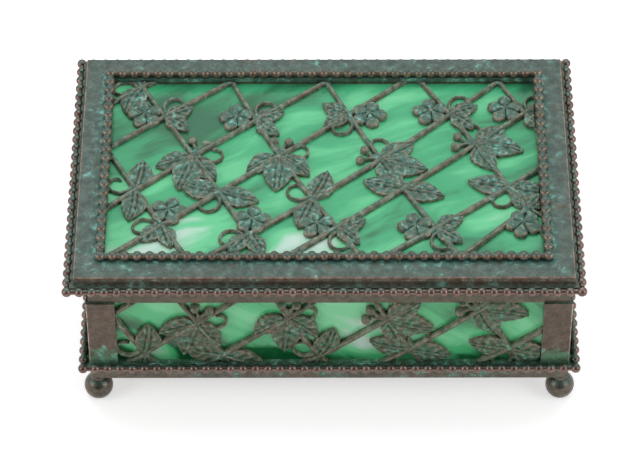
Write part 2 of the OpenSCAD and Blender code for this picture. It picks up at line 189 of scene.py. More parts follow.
def build_light_tent():
    """A white world, at half strength on the box and at 1 where it is seen. Towards the front, where the
    camera looks in, it has a dark opening, which round metal shows as a dark spot."""
    strength, opening_dark, opening_towards = 0.5, 0.95, (0.0, -0.87, 0.5)
    world = bpy.data.worlds.new("light_tent")
    bpy.context.scene.world = world
    world.use_nodes = True
    net = Net(world.node_tree)
    world.node_tree.nodes.clear()
    ahead = net.node("ShaderNodeTexCoord").outputs["Generated"]
    towards = net.vector("DOT_PRODUCT", ahead, opening_towards)["Value"]
    opening = net.ramp(towards, 0.66, 0.93)
    hidden = net.less(1.0, net.node("ShaderNodeLightPath").outputs["Is Camera Ray"])
    dark = net.times(net.times(opening, hidden), opening_dark)
    wall = net.math("ADD", strength, net.times(net.seen(), 1.0 - strength))
    light = net.node("ShaderNodeBackground", {
        "Color": (1, 1, 1, 1), "Strength": net.times(wall, net.less(1.0, dark))})
    net.node("ShaderNodeOutputWorld", {"Surface": light.outputs[0]})


def build_studio():
    """The table and the light tent, with one lamp overhead and two at the front sides."""
    build_table()
    build_light_tent()
    softbox("lamp_overhead", (0.0, 0.34, 0.95), aim=(0, 0, 0.05), width=1.1, depth=0.6, watts=5.0)
    for name, x in (("lamp_left", -0.8), ("lamp_right", 0.8)):
        softbox(name, (x, -0.45, 0.5), aim=(0, 0, 0.03), width=0.5, depth=0.5, watts=2.6)
    bpy.context.scene.view_settings.view_transform = "Standard"


# ------------------------------------------------------------------ sizes, in millimetres


def corners(name):
    """The lowest and highest corner of a CAD node."""
    return np.array(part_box(name)) / MM


def half_sizes(name):
    low, high = corners(name)
    return (high - low) / 2


# as in the part's source: the panes' lap, the sheets' thicknesses and the clearance at posts and hinge
LAP, WALL_T, SHEET_T, HINGE_LEAF_T, CLEAR = 1.5, 1.2, 1.0, 0.8, 0.3

# the body's walls and their openings
BODY_SHIFT = corners("base_plate").mean(0)[0]
WALL_HALF = half_sizes("base_plate")[:2]
IN_HALF = WALL_HALF - WALL_T
OPEN_HALF = half_sizes("glass_front")[0] - LAP, half_sizes("glass_right")[1] - LAP
FLOOR_Z, WALL_TOP = corners("base_plate")[1][2], corners("wall_front")[1][2]
LEDGE_Z, OPEN_HIGH = corners("post_front_left")[:, 2]
OPEN_LOW = LEDGE_Z + CLEAR

# the lid's panel, and the notch for the hinge in the back wall
PLATE_Z = corners("rim_front")[1][2]
PANE_HALF = half_sizes("lid_glass")[:2]
PANEL_HALF = PANE_HALF - LAP
NOTCH_HALF = half_sizes("body_hinge_leaf")[0] + CLEAR
NOTCH_Z = corners("lid_hinge_leaf")[1][2] - HINGE_LEAF_T - CLEAR

# the openwork's pattern, as in the part's source
LEAF, BLOSSOM, BERRY = 15.0, 12.0, 3.0
STEM, TWIG, TAPER = 1.9, 1.3, 0.8
BRANCH_TILT, BRANCH_STEP = (40.0, -62.0), (28.0, 30.0)

# how far rising and falling branches, twigs and tendrils stand up from the sheet
BRANCH_RISE, TWIG_RISE, TENDRIL_RISE = (0.85, 0.6), 0.5, 0.45


# ------------------------------------------------------------------ the pattern, in millimetres


def sin_deg(angle):
    return math.sin(math.radians(angle))


def cos_deg(angle):
    return math.cos(math.radians(angle))


def pick(number, low, high):
    """A repeatable value between low and high: the fraction of 437.585 times a sine of the number."""
    value = sin_deg(number * 127.1 + 31.7) * 437.585
    return low + (high - low) * (value - math.floor(value))


def branch_run(family, height):
    return height / math.tan(math.radians(BRANCH_TILT[family]))


def branch_bow(family, j, height):
    return pick(j * 13 + family * 7, -0.06, 0.06) * height


def branch_mid(family, j):
    return (j + 0.25 + 0.5 * family) * BRANCH_STEP[family] + pick(j * 17 + family * 5, -3, 3)


def branch_x(family, j, height, y):
    """Where branch j of a family passes height y: a straight slope plus a cosine bow."""
    straight = branch_mid(family, j) + branch_run(family, height) * y / height
    return straight + branch_bow(family, j, height) * np.cos(np.pi * y / height)


def branch_count(family, width, height):
    return math.ceil((width + abs(branch_run(family, height))) / 2 / BRANCH_STEP[family])


def crossing_y(i, j, height):
    """The height where rising branch i meets falling branch j, by five repeated trials."""
    apart = branch_mid(0, i) - branch_mid(1, j)
    bow = branch_bow(0, i, height) - branch_bow(1, j, height)
    closing = branch_run(0, height) - branch_run(1, height)
    y = 0.0
    for _ in range(5):
        y = -height * (apart + bow * cos_deg(180 * max(-0.5, min(0.5, y / height)))) / closing
    return y


def crossings(width, height):
    """(x, y, number, kind, bearing) of each crossing of two branches in the panel. The number seeds what is
    picked there. Kind 0 has three leaves and two berries, kind 1 a blossom and two leaves, and kind 2 two
    leaves."""
    first_bearing, sway = 79, 12
    found = []
    reach = [branch_count(f, width, height) for f in (0, 1)]
    for i in range(-reach[0], reach[0] + 1):
        for j in range(-reach[1], reach[1] + 1):
            y = crossing_y(i, j, height)
            x = float(branch_x(0, i, height, y))
            if abs(y) < height / 2 - 1 and abs(x) < width / 2 + 1:
                number = i * 31 + j * 57
                quarters = math.floor(pick(number, 0, 4))
                bearing = first_bearing + 90 * quarters + pick(number + 1, -sway, sway)
                found.append((x, y, number, (i * 2 + j) % 3, bearing))
    return found


def turned(points, angle):
    """Points turned by an angle in degrees about the origin."""
    c, s = cos_deg(angle), sin_deg(angle)
    points = np.asarray(points, float)
    return np.column_stack([c * points[:, 0] - s * points[:, 1], s * points[:, 0] + c * points[:, 1]])


def twig_tip(s):
    """The end of the twig on side s of a crossing, where a berry hangs."""
    return [-0.42 * LEAF, s * 0.16 * LEAF]


def tendril(s):
    """A curl on side s of a crossing: seven steps of 42 degrees round a ring that shrinks by 7 per cent of
    its first radius at each."""
    radius = 0.3 * LEAF
    step = np.linspace(0, 7, 22)
    shrunk = radius * (1 - 0.07 * step)
    angle = np.radians(step * 42 - 90)
    drift = s * (radius - shrunk) * 0.3
    return np.column_stack([-radius * 0.6 + shrunk * np.cos(angle),
                            s * radius * 1.2 + shrunk * s * np.sin(angle) + drift])


def strokes(width, height):
    """Every stem of a panel as (points, first width, last width, rise): branches, forked twigs and
    tendrils."""
    past_border, point_gap = 1, 4
    made = []
    for family in (0, 1):
        count = branch_count(family, width, height)
        for j in range(-count, count + 1):
            y = (height + past_border) * np.linspace(-0.5, 0.5, math.ceil(height / point_gap) + 1)
            points = np.column_stack([branch_x(family, j, height, y), y])
            made.append((points, STEM, STEM * TAPER, BRANCH_RISE[family]))
    for x, y, number, kind, bearing in crossings(width, height):
        if kind == 0:
            for s in (-1, 1):
                twig = [[0, 0], [-0.22 * LEAF, s * 0.03 * LEAF], twig_tip(s)]
                made.append((turned(twig, bearing) + (x, y), TWIG, TWIG * TAPER, TWIG_RISE))
        curl = tendril(1 if number % 2 == 0 else -1)
        made.append((turned(curl, bearing) + (x, y), TWIG, TWIG * 0.6, TENDRIL_RISE))
    return made


def leaf_places(x, y, kind, bearing):
    """(origin, angle, length) of the leaves at one crossing, from each leaf's angle and share of the full
    length."""
    stalk_length = 0.8
    fans = {0: [(-52, 0.82), (0, 1.0), (52, 0.82)],
            1: [(150, 0.62), (215, 0.62)],
            2: [(-8, 0.85), (172, 0.85)]}
    made = []
    for angle, share in fans[kind]:
        stalk = turned([[stalk_length, 0]], bearing + angle)[0]
        made.append(((x + stalk[0], y + stalk[1]), bearing + angle, LEAF * share))
    return made


# ------------------------------------------------------------------ surfaces, in millimetres


def new_piece(name, points, faces, body, material, replaces):
    """A mesh object from arrays of points in millimetres and of quads, which rides on a body and stands for
    a CAD node. A quad whose first and last corners are the same point becomes a triangle. Edges over 40
    degrees stay sharp."""
    faces = np.asarray(faces, int)
    corners_used = np.ones(faces.shape, bool)
    corners_used[:, 3] = faces[:, 3] != faces[:, 0]
    sizes = corners_used.sum(1)
    mesh = bpy.data.meshes.new(name)
    mesh.vertices.add(len(points))
    mesh.vertices.foreach_set("co", (np.asarray(points, float) * MM).ravel())
    mesh.loops.add(int(sizes.sum()))
    mesh.loops.foreach_set("vertex_index", faces[corners_used])
    mesh.polygons.add(len(faces))
    mesh.polygons.foreach_set("loop_start", np.concatenate([[0], np.cumsum(sizes)[:-1]]))
    mesh.update(calc_edges=True)
    mesh.validate()
    mesh.polygons.foreach_set("use_smooth", np.ones(len(mesh.polygons), bool))
    mesh.set_sharp_from_angle(angle=math.radians(40.0))
    piece = bpy.data.objects.new(name, mesh)
    bpy.context.scene.collection.objects.link(piece)
    mesh.materials.append(material)
    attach(piece, body)
    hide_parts(*replaces)


def slab(x, y, top, bottom, keep, around=False):
    """A closed plate over the kept cells of a grid. The top and bottom heights are given at each grid
    point, and a wall joins them along each edge that only one kept cell has. Where the grid goes around a
    middle, its first row is one point, the pole, and its last column is its first, so no wall stands
    inside."""
    rows, columns = x.shape
    index = np.arange(rows * columns).reshape(rows, columns)
    if around:
        index[:, -1] = index[:, 0]
        index[0] = index[0, 0]
    quad = np.stack([index[:-1, :-1], index[1:, :-1], index[1:, 1:], index[:-1, 1:]], -1)[keep]
    total = rows * columns
    start, end = quad.ravel(), np.roll(quad, -1, axis=1).ravel()
    rim = ~np.isin(start * total + end, end * total + start)
    start, end = start[rim], end[rim]
    skirt = np.column_stack([end, start, start + total, end + total])
    faces = np.vstack([quad, quad[:, ::-1] + total, skirt])
    points = np.vstack([np.column_stack([x.ravel(), y.ravel(), top.ravel()]),
                        np.column_stack([x.ravel(), y.ravel(), bottom.ravel()])])
    used = np.unique(faces)
    renumber = np.zeros(2 * total, int)
    renumber[used] = np.arange(len(used))
    return points[used], renumber[faces]


def stroke_distance(x, y, points, first, last):
    """Distance from each (x, y) to a tapering line, less its half width: below 0 inside. It is worked out
    only within reach of each stretch of the line, and is far elsewhere."""
    far, reach = 1e3, 4
    best = np.full(x.shape, far)
    count = len(points) - 1
    for k in range(count):
        a, b = points[k], points[k + 1]
        low, high = np.minimum(a, b) - reach, np.maximum(a, b) + reach
        i0, i1 = np.searchsorted(x[:, 0], (low[0], high[0]))
        j0, j1 = np.searchsorted(y[0], (low[1], high[1]))
        if i1 <= i0 or j1 <= j0:
            continue
        px, py = x[i0:i1, j0:j1], y[i0:i1, j0:j1]
        d = b - a
        t = np.clip(((px - a[0]) * d[0] + (py - a[1]) * d[1]) / (d @ d), 0, 1)
        half = (first + (last - first) * (k + t) / count) / 2
        near = np.hypot(px - a[0] - t * d[0], py - a[1] - t * d[1]) - half
        best[i0:i1, j0:j1] = np.minimum(best[i0:i1, j0:j1], near)
    return best


def smooth_least(a, b, reach):
    """The lesser of two distances, rounded where they are within reach of each other, as metal fills a
    corner."""
    h = np.clip(0.5 + 0.5 * (b - a) / reach, 0, 1)
    return b + (a - b) * h - reach * h * (1 - h)


def outer_points(keep, shape):
    """The grid points with both a kept cell and one that isn't kept beside them, apart from those on the
    grid's own border."""
    touched, whole = np.zeros(shape, bool), np.ones(shape, bool)
    for si in (slice(None, -1), slice(1, None)):
        for sj in (slice(None, -1), slice(1, None)):
            touched[si, sj] |= keep
            whole[si, sj] &= keep
    outer = touched & ~whole
    outer[[0, -1], :] = outer[:, [0, -1]] = False
    return outer


def trellis(width, height, thick, step):
    """The stems of a panel as one casting. The outline is where the rounded least of all stroke distances
    is 0, and the outer points of the grid are moved onto it. The height over a stem is its rise times the
    square root of 1 - (1 - depth / half width) squared, less an edge rounded off by a quarter circle. Both
    fade at the border."""
    fillet, border_gap, fade_reach = 0.7, 0.05, 1.2
    round_off, round_reach, least_slope = 0.3, 0.35, 0.3
    nx, ny = round(width / step), round(height / step)
    x, y = np.meshgrid(np.linspace(-width / 2, width / 2, nx + 1),
                       np.linspace(-height / 2, height / 2, ny + 1), indexing="ij")
    border = np.minimum(width / 2 - np.abs(x), height / 2 - np.abs(y))
    outline, rise = border + border_gap, np.zeros(x.shape)
    for points, first, last, lift in strokes(width, height):
        near = stroke_distance(x, y, points, first, last)
        outline = smooth_least(outline, near, fillet)
        depth = np.clip(-near / (first / 2), 0, 1)
        rise = np.maximum(rise, lift * np.sqrt(1 - (1 - depth) ** 2))
    middle = (outline[:-1, :-1] + outline[1:, :-1] + outline[1:, 1:] + outline[:-1, 1:]) / 4
    keep = middle < 0
    outer = outer_points(keep, x.shape)
    gx, gy = np.gradient(outline, x[1, 0] - x[0, 0], y[0, 1] - y[0, 0])
    slope = np.maximum(np.hypot(gx, gy), least_slope)
    shift = np.where(outer, np.clip(-outline / slope, -step, step), 0)
    rise[outer] = 0
    fade = np.clip(border / fade_reach, 0, 1)
    inward = np.clip(-outline / round_reach, 0, 1)
    edge = round_off * (1 - np.sqrt(1 - (1 - inward) ** 2)) * fade
    top = thick + rise * fade ** 0.5 - np.where(outer, round_off * fade, edge)
    return slab(x + shift * gx / slope, y + shift * gy / slope, top, np.zeros(x.shape), keep)


def leaf_half(t, length):
    """Half a leaf's width at t: 0.31 of its length times a power of a sine of a power of t."""
    return 0.31 * length * np.sin(np.pi * np.clip(t, 0, 1) ** 0.75).clip(0) ** 0.8


def leaf_surface(length, seed):
    """A toothed leaf over t from stalk to tip and v from edge to edge, its midline bowed by a sine of t.
    Its height is a dome that falls off as |v| to the 3.2, with side veins that are a power of a cosine of t
    less |v| and so lean to the tip, a raised rib and a groove on each side of it that are bell curves over
    the distance from the midline, and edges that roll up as v squared."""
    teeth, veins, lean = 6, 4.2, 0.8
    dome, vein_rise, rib_rise, groove_fall, roll = 0.66, 0.28, 0.42, 0.32, 0.28
    rib_width, groove_place, groove_width = 0.36, 0.8, 0.28
    t, v = np.meshgrid(np.linspace(0, 1, 37), np.linspace(-1, 1, 21), indexing="ij")
    out = np.abs(v)
    toothed = 0.96 + 0.1 * np.abs(np.sin(np.pi * (t * teeth + 0.3)))
    half = leaf_half(t, length) * toothed + 0.25 * (1 - t) + 0.05
    bend = 0.05 * length * math.cos(seed * 2.4) * np.sin(np.pi * t)
    x, y = length * t, v * half + bend
    side = out ** 0.4 * (1 - out ** 4)
    vein = np.cos(2 * np.pi * (t * veins - lean * out ** 1.3))
    rib = np.exp(-((v * half) / rib_width) ** 2) * (1 - t) ** 0.4
    groove = np.exp(-((np.abs(v * half) - groove_place) / groove_width) ** 2) * np.minimum(half / 2, 1)
    z = dome * (1 - out ** 3.2) * (0.35 + 0.65 * np.sin(np.pi * t ** 0.8).clip(0) ** 0.5)
    z += vein_rise * side * np.sign(vein) * np.abs(vein) ** 0.7 + rib_rise * rib - groove_fall * groove
    return x, y, z + roll * out ** 2 * np.sin(np.pi * t)


def blossom_surface(radius):
    """A five-petalled blossom over ring r and turn a. The outline is 0.62 + 0.38 |cos 2.5a|^0.7. Petals cup
    up by a sine of r, with a valley between them and a crease down each. The middle is a bell-shaped boss,
    ringed with stamens by a cosine of 9a, and the tips turn down."""
    cup, valley, lift, boss, stamens, crease, turn_down = 0.5, 0.45, 0.15, 0.55, 0.2, 0.22, 0.5
    r, a = np.meshgrid(np.linspace(0.0, 1, 15), np.linspace(0, 2 * np.pi, 61), indexing="ij")
    petal = np.abs(np.cos(2.5 * a))
    out = radius * (0.62 + 0.38 * petal ** 0.7) * r
    z = 0.5 + cup * petal * np.sin(np.pi * np.clip(r, 0, 0.95)) - valley * (1 - petal) ** 3 * r \
        + lift * petal * r
    z += boss * np.exp(-((r / 0.2) ** 4)) \
        + stamens * np.exp(-(((r - 0.3) / 0.05) ** 2)) * np.abs(np.cos(9 * a))
    z -= crease * np.exp(-((1 - petal) / 0.03) ** 2) * np.clip(r * 2 - 0.5, 0, 1)
    z -= turn_down * np.clip((r - 0.9) / 0.1, 0, 1) ** 2
    return out * np.cos(a), out * np.sin(a), z


def berry_surface(radius):
    """The upper half of a ball over ring r and turn a: sine of r across and cosine of r up, a little
    flattened."""
    r, a = np.meshgrid(np.linspace(0, 1, 8), np.linspace(0, 2 * np.pi, 19), indexing="ij")
    out = radius * np.sin(r * np.pi / 2)
    return out * np.cos(a), out * np.sin(a), 0.1 + 0.95 * radius * np.cos(r * np.pi / 2)


def foliage(width, height, thick, fade_out):
    """Every leaf, blossom and berry of a panel, each closed by a flat back and a wall along its outline.
    The relief sinks to the sheet over the distance fade_out from the panel's border. What reaches past the
    border is drawn in to just behind it, a little inside the sheet on all sides."""
    tuck, sink, least_reach = 0.3, 0.15, 0.3
    points, faces, count = [], [], 0

    def add(surface, origin, angle, around=False):
        nonlocal count
        x, y, z = surface
        c, s = cos_deg(angle), sin_deg(angle)
        gx, gy = origin[0] + c * x - s * y, origin[1] + s * x + c * y
        border = np.minimum(width / 2 - np.abs(gx), height / 2 - np.abs(gy))
        if border.max() < least_reach:
            return
        gx = np.clip(gx, -width / 2 - tuck, width / 2 + tuck)
        gy = np.clip(gy, -height / 2 - tuck, height / 2 + tuck)
        sunk = sink * (border < 0)
        top = thick + z * np.clip(border / fade_out, 0, 1) ** 0.6 - sunk
        every_cell = np.ones((x.shape[0] - 1, x.shape[1] - 1), bool)
        p, f = slab(gx, gy, top, sunk, every_cell, around)
        points.append(p)
        faces.append(f + count)
        count += len(p)

    for x, y, number, kind, bearing in crossings(width, height):
        for k, (origin, angle, length) in enumerate(leaf_places(x, y, kind, bearing)):
            add(leaf_surface(length, number + k), origin, angle)
        if kind == 1:
            middle = turned([[0.55 * BLOSSOM, 0]], bearing)[0] + (x, y)
            add(blossom_surface(BLOSSOM / 2), middle, bearing, True)
        if kind == 0:
            for s in (-1, 1):
                tip = turned([twig_tip(s)], bearing)[0] + (x, y)
                add(berry_surface(BERRY / 2), tip, 0, True)
    return np.vstack(points), np.vstack(faces)


def surround(xs, ys, holes, thick):
    """The plain sheet round a panel: a plate on the grid lines xs and ys without the cells named in holes."""
    x, y = np.meshgrid(xs, ys, indexing="ij")
    keep = np.ones((len(xs) - 1, len(ys) - 1), bool)
    for cell in holes:
        keep[cell] = False
    return slab(x, y, np.full(x.shape, thick), np.zeros(x.shape), keep)


def pierced_sheet(width, height, plain, thick, step, fade_out):
    """The three pieces of a sheet whose panel is width by height, by name, as (points, faces). Plain is
    (xs, ys, holes) of its surround, and the back of the sheet is at height 0."""
    return {"surround": surround(*plain, thick),
            "trellis": trellis(width, height, thick, step),
            "foliage": foliage(width, height, thick, fade_out)}


def on_wall(side, points):
    """Panel points (right, up, out) as points of the box, on the wall of that side."""
    half = WALL_HALF[(side + 1) % 2]
    x, y, z = points[:, 0], -half + WALL_T - points[:, 2], points[:, 1] + (OPEN_LOW + OPEN_HIGH) / 2
    c, s = (1, 0, -1, 0)[side], (0, 1, 0, -1)[side]
    return np.column_stack([c * x - s * y + BODY_SHIFT, s * x + c * y, z])


def build_lid_openwork(metal):
    """The pierced sheet in the lid's window. Metal holds the materials of its three pieces."""
    (pane_x, pane_y), (panel_x, panel_y) = PANE_HALF, PANEL_HALF
    plain = (-pane_x, -panel_x, panel_x, pane_x), (-pane_y, -panel_y, panel_y, pane_y), [(1, 1)]
    lift = np.array([0, 0, PLATE_Z - SHEET_T])
    sheet = pierced_sheet(2 * panel_x, 2 * panel_y, plain, SHEET_T, step=0.3, fade_out=0.5)
    for part, (points, faces) in sheet.items():
        new_piece("lid_" + part, points + lift, faces, "lid", metal[part], ["lid_openwork"])


def build_wall_openwork(metal):
    """The four pierced walls. The front and back go the full width, the sides stand between them, and the
    back has a notch at its top for the hinge. Metal holds the materials of each wall's three pieces."""
    height, middle = OPEN_HIGH - OPEN_LOW, (OPEN_LOW + OPEN_HIGH) / 2
    low, high = FLOOR_Z - middle, WALL_TOP - middle
    for side, name in enumerate(SIDES):
        width = 2 * OPEN_HALF[side % 2]
        half = WALL_HALF[0] if side % 2 == 0 else IN_HALF[1]
        plain = [-half, -width / 2, width / 2, half], [low, -height / 2, height / 2, high], [(1, 1)]
        if name == "back":
            plain = ([-half, -width / 2, -NOTCH_HALF, NOTCH_HALF, width / 2, half],
                     [low, -height / 2, height / 2, NOTCH_Z - middle, high], [(1, 1), (2, 1), (3, 1), (2, 3)])
        sheet = pierced_sheet(width, height, plain, WALL_T, step=0.28, fade_out=1.0)
        for part, (points, faces) in sheet.items():
            new_piece(f"{name}_{part}", on_wall(side, points), faces, "box_body", metal[part],
                      ["wall_" + name])


# ------------------------------------------------------------------ finishes

COLOUR, FLOAT, VECTOR = "NodeSocketColor", "NodeSocketFloat", "NodeSocketVector"


def shader_group(name, inputs, outputs):
    """An empty node group with its sockets, as (tree, net, the inputs' outputs, the output node)."""
    tree = bpy.data.node_groups.new(name, "ShaderNodeTree")
    for title, kind, value in inputs:
        socket = tree.interface.new_socket(title, in_out="INPUT", socket_type=kind)
        socket.default_value = value
    for title, kind in outputs:
        tree.interface.new_socket(title, in_out="OUTPUT", socket_type=kind)
    net = Net(tree)
    return tree, net, net.node("NodeGroupInput").outputs, net.node("NodeGroupOutput")


def make_relief_group():
    """Where the metal is hollow, near a hollow, sharp-edged, ridged, grooved, slanting or faces up. Reach
    is how far off a hollow's other side may be, in metres."""
    tree, net, given, out = shader_group(
        "relief", [("Reach", FLOAT, 0.0022)],
        [(k, FLOAT) for k in ("Recess", "Near", "Edge", "Ridge", "Groove", "Slant", "Up")])
    form = net.node("ShaderNodeNewGeometry").outputs
    rounded = net.node("ShaderNodeBevel", {"Radius": 0.00035}, samples=4).outputs["Normal"]
    alike = net.vector("DOT_PRODUCT", form["Normal"], rounded)["Value"]
    facing = net.node("ShaderNodeTexCoord").outputs["Normal"]
    axes = net.node("ShaderNodeSeparateXYZ", {0: facing}).outputs
    x, y, z = (net.math("ABSOLUTE", axes[k]) for k in "XYZ")
    made = {"Edge": net.ramp(net.less(1.0, alike), 0.02, 0.22),
            "Ridge": net.ramp(form["Pointiness"], 0.505, 0.55),
            "Groove": net.ramp(form["Pointiness"], 0.46, 0.498, 1.0, 0.0),
            "Slant": net.ramp(net.most(x, net.most(y, z)), 0.75, 0.95, 1.0, 0.0),
            "Up": net.ramp(axes["Z"], 0.35, 0.95)}
    for title, share, low, high in (("Recess", 1.0, 0.12, 0.75), ("Near", 3.5, 0.08, 0.5)):
        reach = net.times(given["Reach"], share)
        shade = net.node("ShaderNodeAmbientOcclusion", {"Distance": reach}, samples=6)
        made[title] = net.ramp(net.less(1.0, shade.outputs["AO"]), low, high)
    for title, value in made.items():
        tree.links.new(value, out.inputs[title])
    return tree


def make_bronze_group(relief):
    """Aged bronze. Grey-green patina lies over worn brown metal where broad noise and upward faces put it.
    Verdigris stands in blotches, near hollows by Stain, and in a pool over the height of Pool. Recesses, as
    ambient occlusion finds them, and grooves darken towards the dark colour by its depth: partly grime and
    partly painted shade. Edges are worn pale by Wear and slanting faces by Slants: on edges and ridges that
    is wear, on slanting faces partly wear and partly a painted highlight. Ridges and grooves count by
    Carved. Fineness makes the blotches smaller. The shares say how much of the metal patina and verdigris
    take."""
    tree, net, given, out = shader_group(
        "aged_bronze",
        [("Worn", COLOUR, tone(98, 85, 74)), ("Patina", COLOUR, tone(82, 97, 90)),
         ("Verdigris", COLOUR, tone(84, 134, 122)), ("Fleck", COLOUR, tone(126, 184, 172)),
         ("Dirt", COLOUR, tone(30, 37, 31)), ("Rubbed", COLOUR, tone(164, 130, 115)),
         ("Patina share", FLOAT, 0.25), ("Verdigris share", FLOAT, 0.3), ("Wear", FLOAT, 0.6),
         ("Carved", FLOAT, 0.0), ("Slants", FLOAT, 0.0), ("Dirt depth", FLOAT, 0.7), ("Pool", FLOAT, -1.0),
         ("Reach", FLOAT, 0.0022), ("Fineness", FLOAT, 1.0), ("Stain", FLOAT, 0.12)],
        [("Colour", COLOUR), ("Roughness", FLOAT), ("Height", FLOAT)])
    rust_brown = tone(118, 84, 58)
    where = net.node("ShaderNodeTexCoord").outputs["Object"]
    form = net.node("ShaderNodeGroup", {"Reach": given["Reach"]}, node_tree=relief).outputs
    ridge = net.times(form["Ridge"], given["Carved"])
    recess = net.most(form["Recess"], net.times(form["Groove"], given["Carved"]))
    close = net.scaled(where, given["Fineness"])
    broad = net.noise(where, 58.0, 4.0, 0.6, 0.8)
    mottle = net.noise(close, 340.0, 5.0, 0.62, 0.4)
    spots = net.noise(close, 135.0, 5.0, 0.65, 1.2)
    grain = net.noise(close, 1500.0, 3.0, 0.6)

    height = net.node("ShaderNodeSeparateXYZ", {0: where}).outputs["Z"]
    above = net.less(height, given["Pool"])
    pool = net.times(net.ramp(above, 0.003, 0.012, 1.0, 0.0), net.ramp(above, -0.002, 0.0, 0.45, 1.0))
    build_up = net.total((broad, 0.5), (mottle, 0.32), (form["Up"], 0.45), (recess, 0.1), (ridge, -0.2))
    patina = net.ramp(net.less(build_up, net.less(1.0, given["Patina share"])), -0.14, 0.14)
    green = net.total((spots, 0.72), (mottle, 0.28), (recess, 0.06), (form["Near"], given["Stain"]),
                      (pool, 0.26))
    green = net.ramp(net.less(green, net.less(1.0, given["Verdigris share"])), -0.06, 0.15)
    rust = net.ramp(spots, 0.3, 0.4, 0.5, 0.0)
    colour = net.mix(patina, given["Worn"], given["Patina"])
    colour = net.mix(rust, colour, rust_brown)
    colour = net.mix(green, colour, net.mix(net.ramp(mottle, 0.5, 0.64), given["Verdigris"], given["Fleck"]))

    # recesses and grooves darken here towards the dark colour, partly grime and partly painted shade
    dirt_and_shade = net.times(given["Dirt depth"], net.less(1.0, net.times(pool, 0.6)))
    colour = net.mix(net.times(recess, dirt_and_shade), colour, given["Dirt"])
    # edges and ridges turn pale here by wear; slanting faces such as chamfers turn pale partly by wear and
    # partly as a painted highlight
    slants = net.times(form["Slant"], given["Slants"])
    rubbed_and_sheen = net.most(net.times(form["Edge"], given["Wear"]), net.most(ridge, slants))
    colour = net.mix(net.times(rubbed_and_sheen, net.ramp(mottle, 0.35, 0.6, 0.35, 1.0)), colour, given["Rubbed"])
    spread = net.total((mottle, 0.5), (grain, 0.3))
    light = net.node("ShaderNodeCombineColor", {
        k: net.ramp(spread, 0.25, 0.55, 0.62, 1.38) for k in ("Red", "Green", "Blue")}).outputs[0]
    colour = net.mix(1.0, colour, light, "MULTIPLY")
    rough = net.math("ADD", net.total((patina, 0.16), (green, 0.22), (grain, 0.12)), 0.3, True)
    for title, value in (("Colour", colour), ("Roughness", rough),
                         ("Height", net.total((mottle, 0.7), (grain, 0.3), (green, 0.4)))):
        tree.links.new(value, out.inputs[title])
    return tree


def make_marble_group():
    """Marbled glass: bands of deep, bright and pale green from a noise that starts at Place and is drawn out
    along the direction of Turn, swirled by a slow noise and varied by a broad one. Paler patches, Cloud and
    Streak, lie drawn out the same way, and Shade darkens it all. Below a given height the glass is darker, a
    painted shade along the foot of a pane."""
    tree, net, given, out = shader_group(
        "marbled", [("Turn", VECTOR, (0.0, 0.0, 0.5)), ("Place", VECTOR, (0.0, 0.0, 0.0)),
                    ("Cloud", VECTOR, (0.0, 0.0, 0.0)), ("Cloud size", VECTOR, (0.03, 0.03, 0.03)),
                    ("Streak", VECTOR, (0.0, 0.0, 1.0)), ("Streak size", VECTOR, (0.03, 0.01, 0.01)),
                    ("Deep below", FLOAT, -1.0), ("Shade", FLOAT, 0.0),
                    ("Deep", COLOUR, tone(52, 120, 86)), ("Middle", COLOUR, tone(72, 184, 130)),
                    ("Bright", COLOUR, tone(110, 218, 158)), ("Pale", COLOUR, tone(208, 238, 226))],
        [("Colour", COLOUR), ("Height", FLOAT)])
    band_size, swirl_size = (0.075, 0.015, 0.015), 0.022
    where = net.node("ShaderNodeTexCoord").outputs["Object"]
    slow = net.node("ShaderNodeTexNoise", {"Vector": where, "Scale": 20.0, "Detail": 2.0})
    swirl = net.vector("SUBTRACT", slow.outputs["Color"], (0.5, 0.5, 0.5))[0]
    moved = net.vector("ADD", where, net.scaled(swirl, swirl_size))[0]

    def along(place, size):
        """The point in sizes from a place, with its first axis along the drawing direction."""
        return net.node("ShaderNodeMapping", {"Vector": moved, "Location": place, "Rotation": given["Turn"],
                                              "Scale": size}, vector_type="TEXTURE").outputs[0]

    def patch(title):
        """1 in the middle of a patch of glass and 0 outside it."""
        away = net.vector("LENGTH", along(given[title], given[title + " size"]))["Value"]
        return net.ramp(away, 0.3, 1.0, 1.0, 0.0)

    drawn = along(given["Place"], band_size)
    band = net.noise(drawn, 1.0, 4.0, 0.5, 0.3)
    fine = net.noise(drawn, 4.0, 4.0, 0.6, 0.2)
    wide = net.noise(where, 16.0, 2.0, 0.5)
    height = net.node("ShaderNodeSeparateXYZ", {0: moved}).outputs["Z"]
    # painted shade: the glass darkens below the given height, along the foot of a pane
    bottom = net.ramp(net.less(height, given["Deep below"]), -0.004, 0.004, 1.0, 0.0)
    tint = net.total((band, 0.72), (fine, 0.13), (wide, 0.34), (patch("Cloud"), 0.17),
                     (patch("Streak"), 0.27), (bottom, -0.22), (given["Shade"], -1.0))
    tint = net.less(tint, 0.035)
    colour = net.mix(net.ramp(tint, 0.4, 0.54), given["Deep"], given["Middle"])
    colour = net.mix(net.ramp(tint, 0.54, 0.66), colour, given["Bright"])
    colour = net.mix(net.ramp(tint, 0.66, 0.8), colour, given["Pale"])
    for title, value in (("Colour", colour), ("Height", net.noise(where, 90.0, 2.0))):
        tree.links.new(value, out.inputs[title])
    return tree


def grouped_material(name, group, values):
    """A new material with a shader group in it that has its own values, as (material, net, the group's
    outputs)."""
    material = bpy.data.materials.new(name)
    material.use_nodes = True
    net = Net(material.node_tree)
    material.node_tree.nodes.clear()
    inputs = {key.replace("_", " "): value for key, value in values.items()}
    return material, net, net.node("ShaderNodeGroup", inputs, node_tree=group).outputs


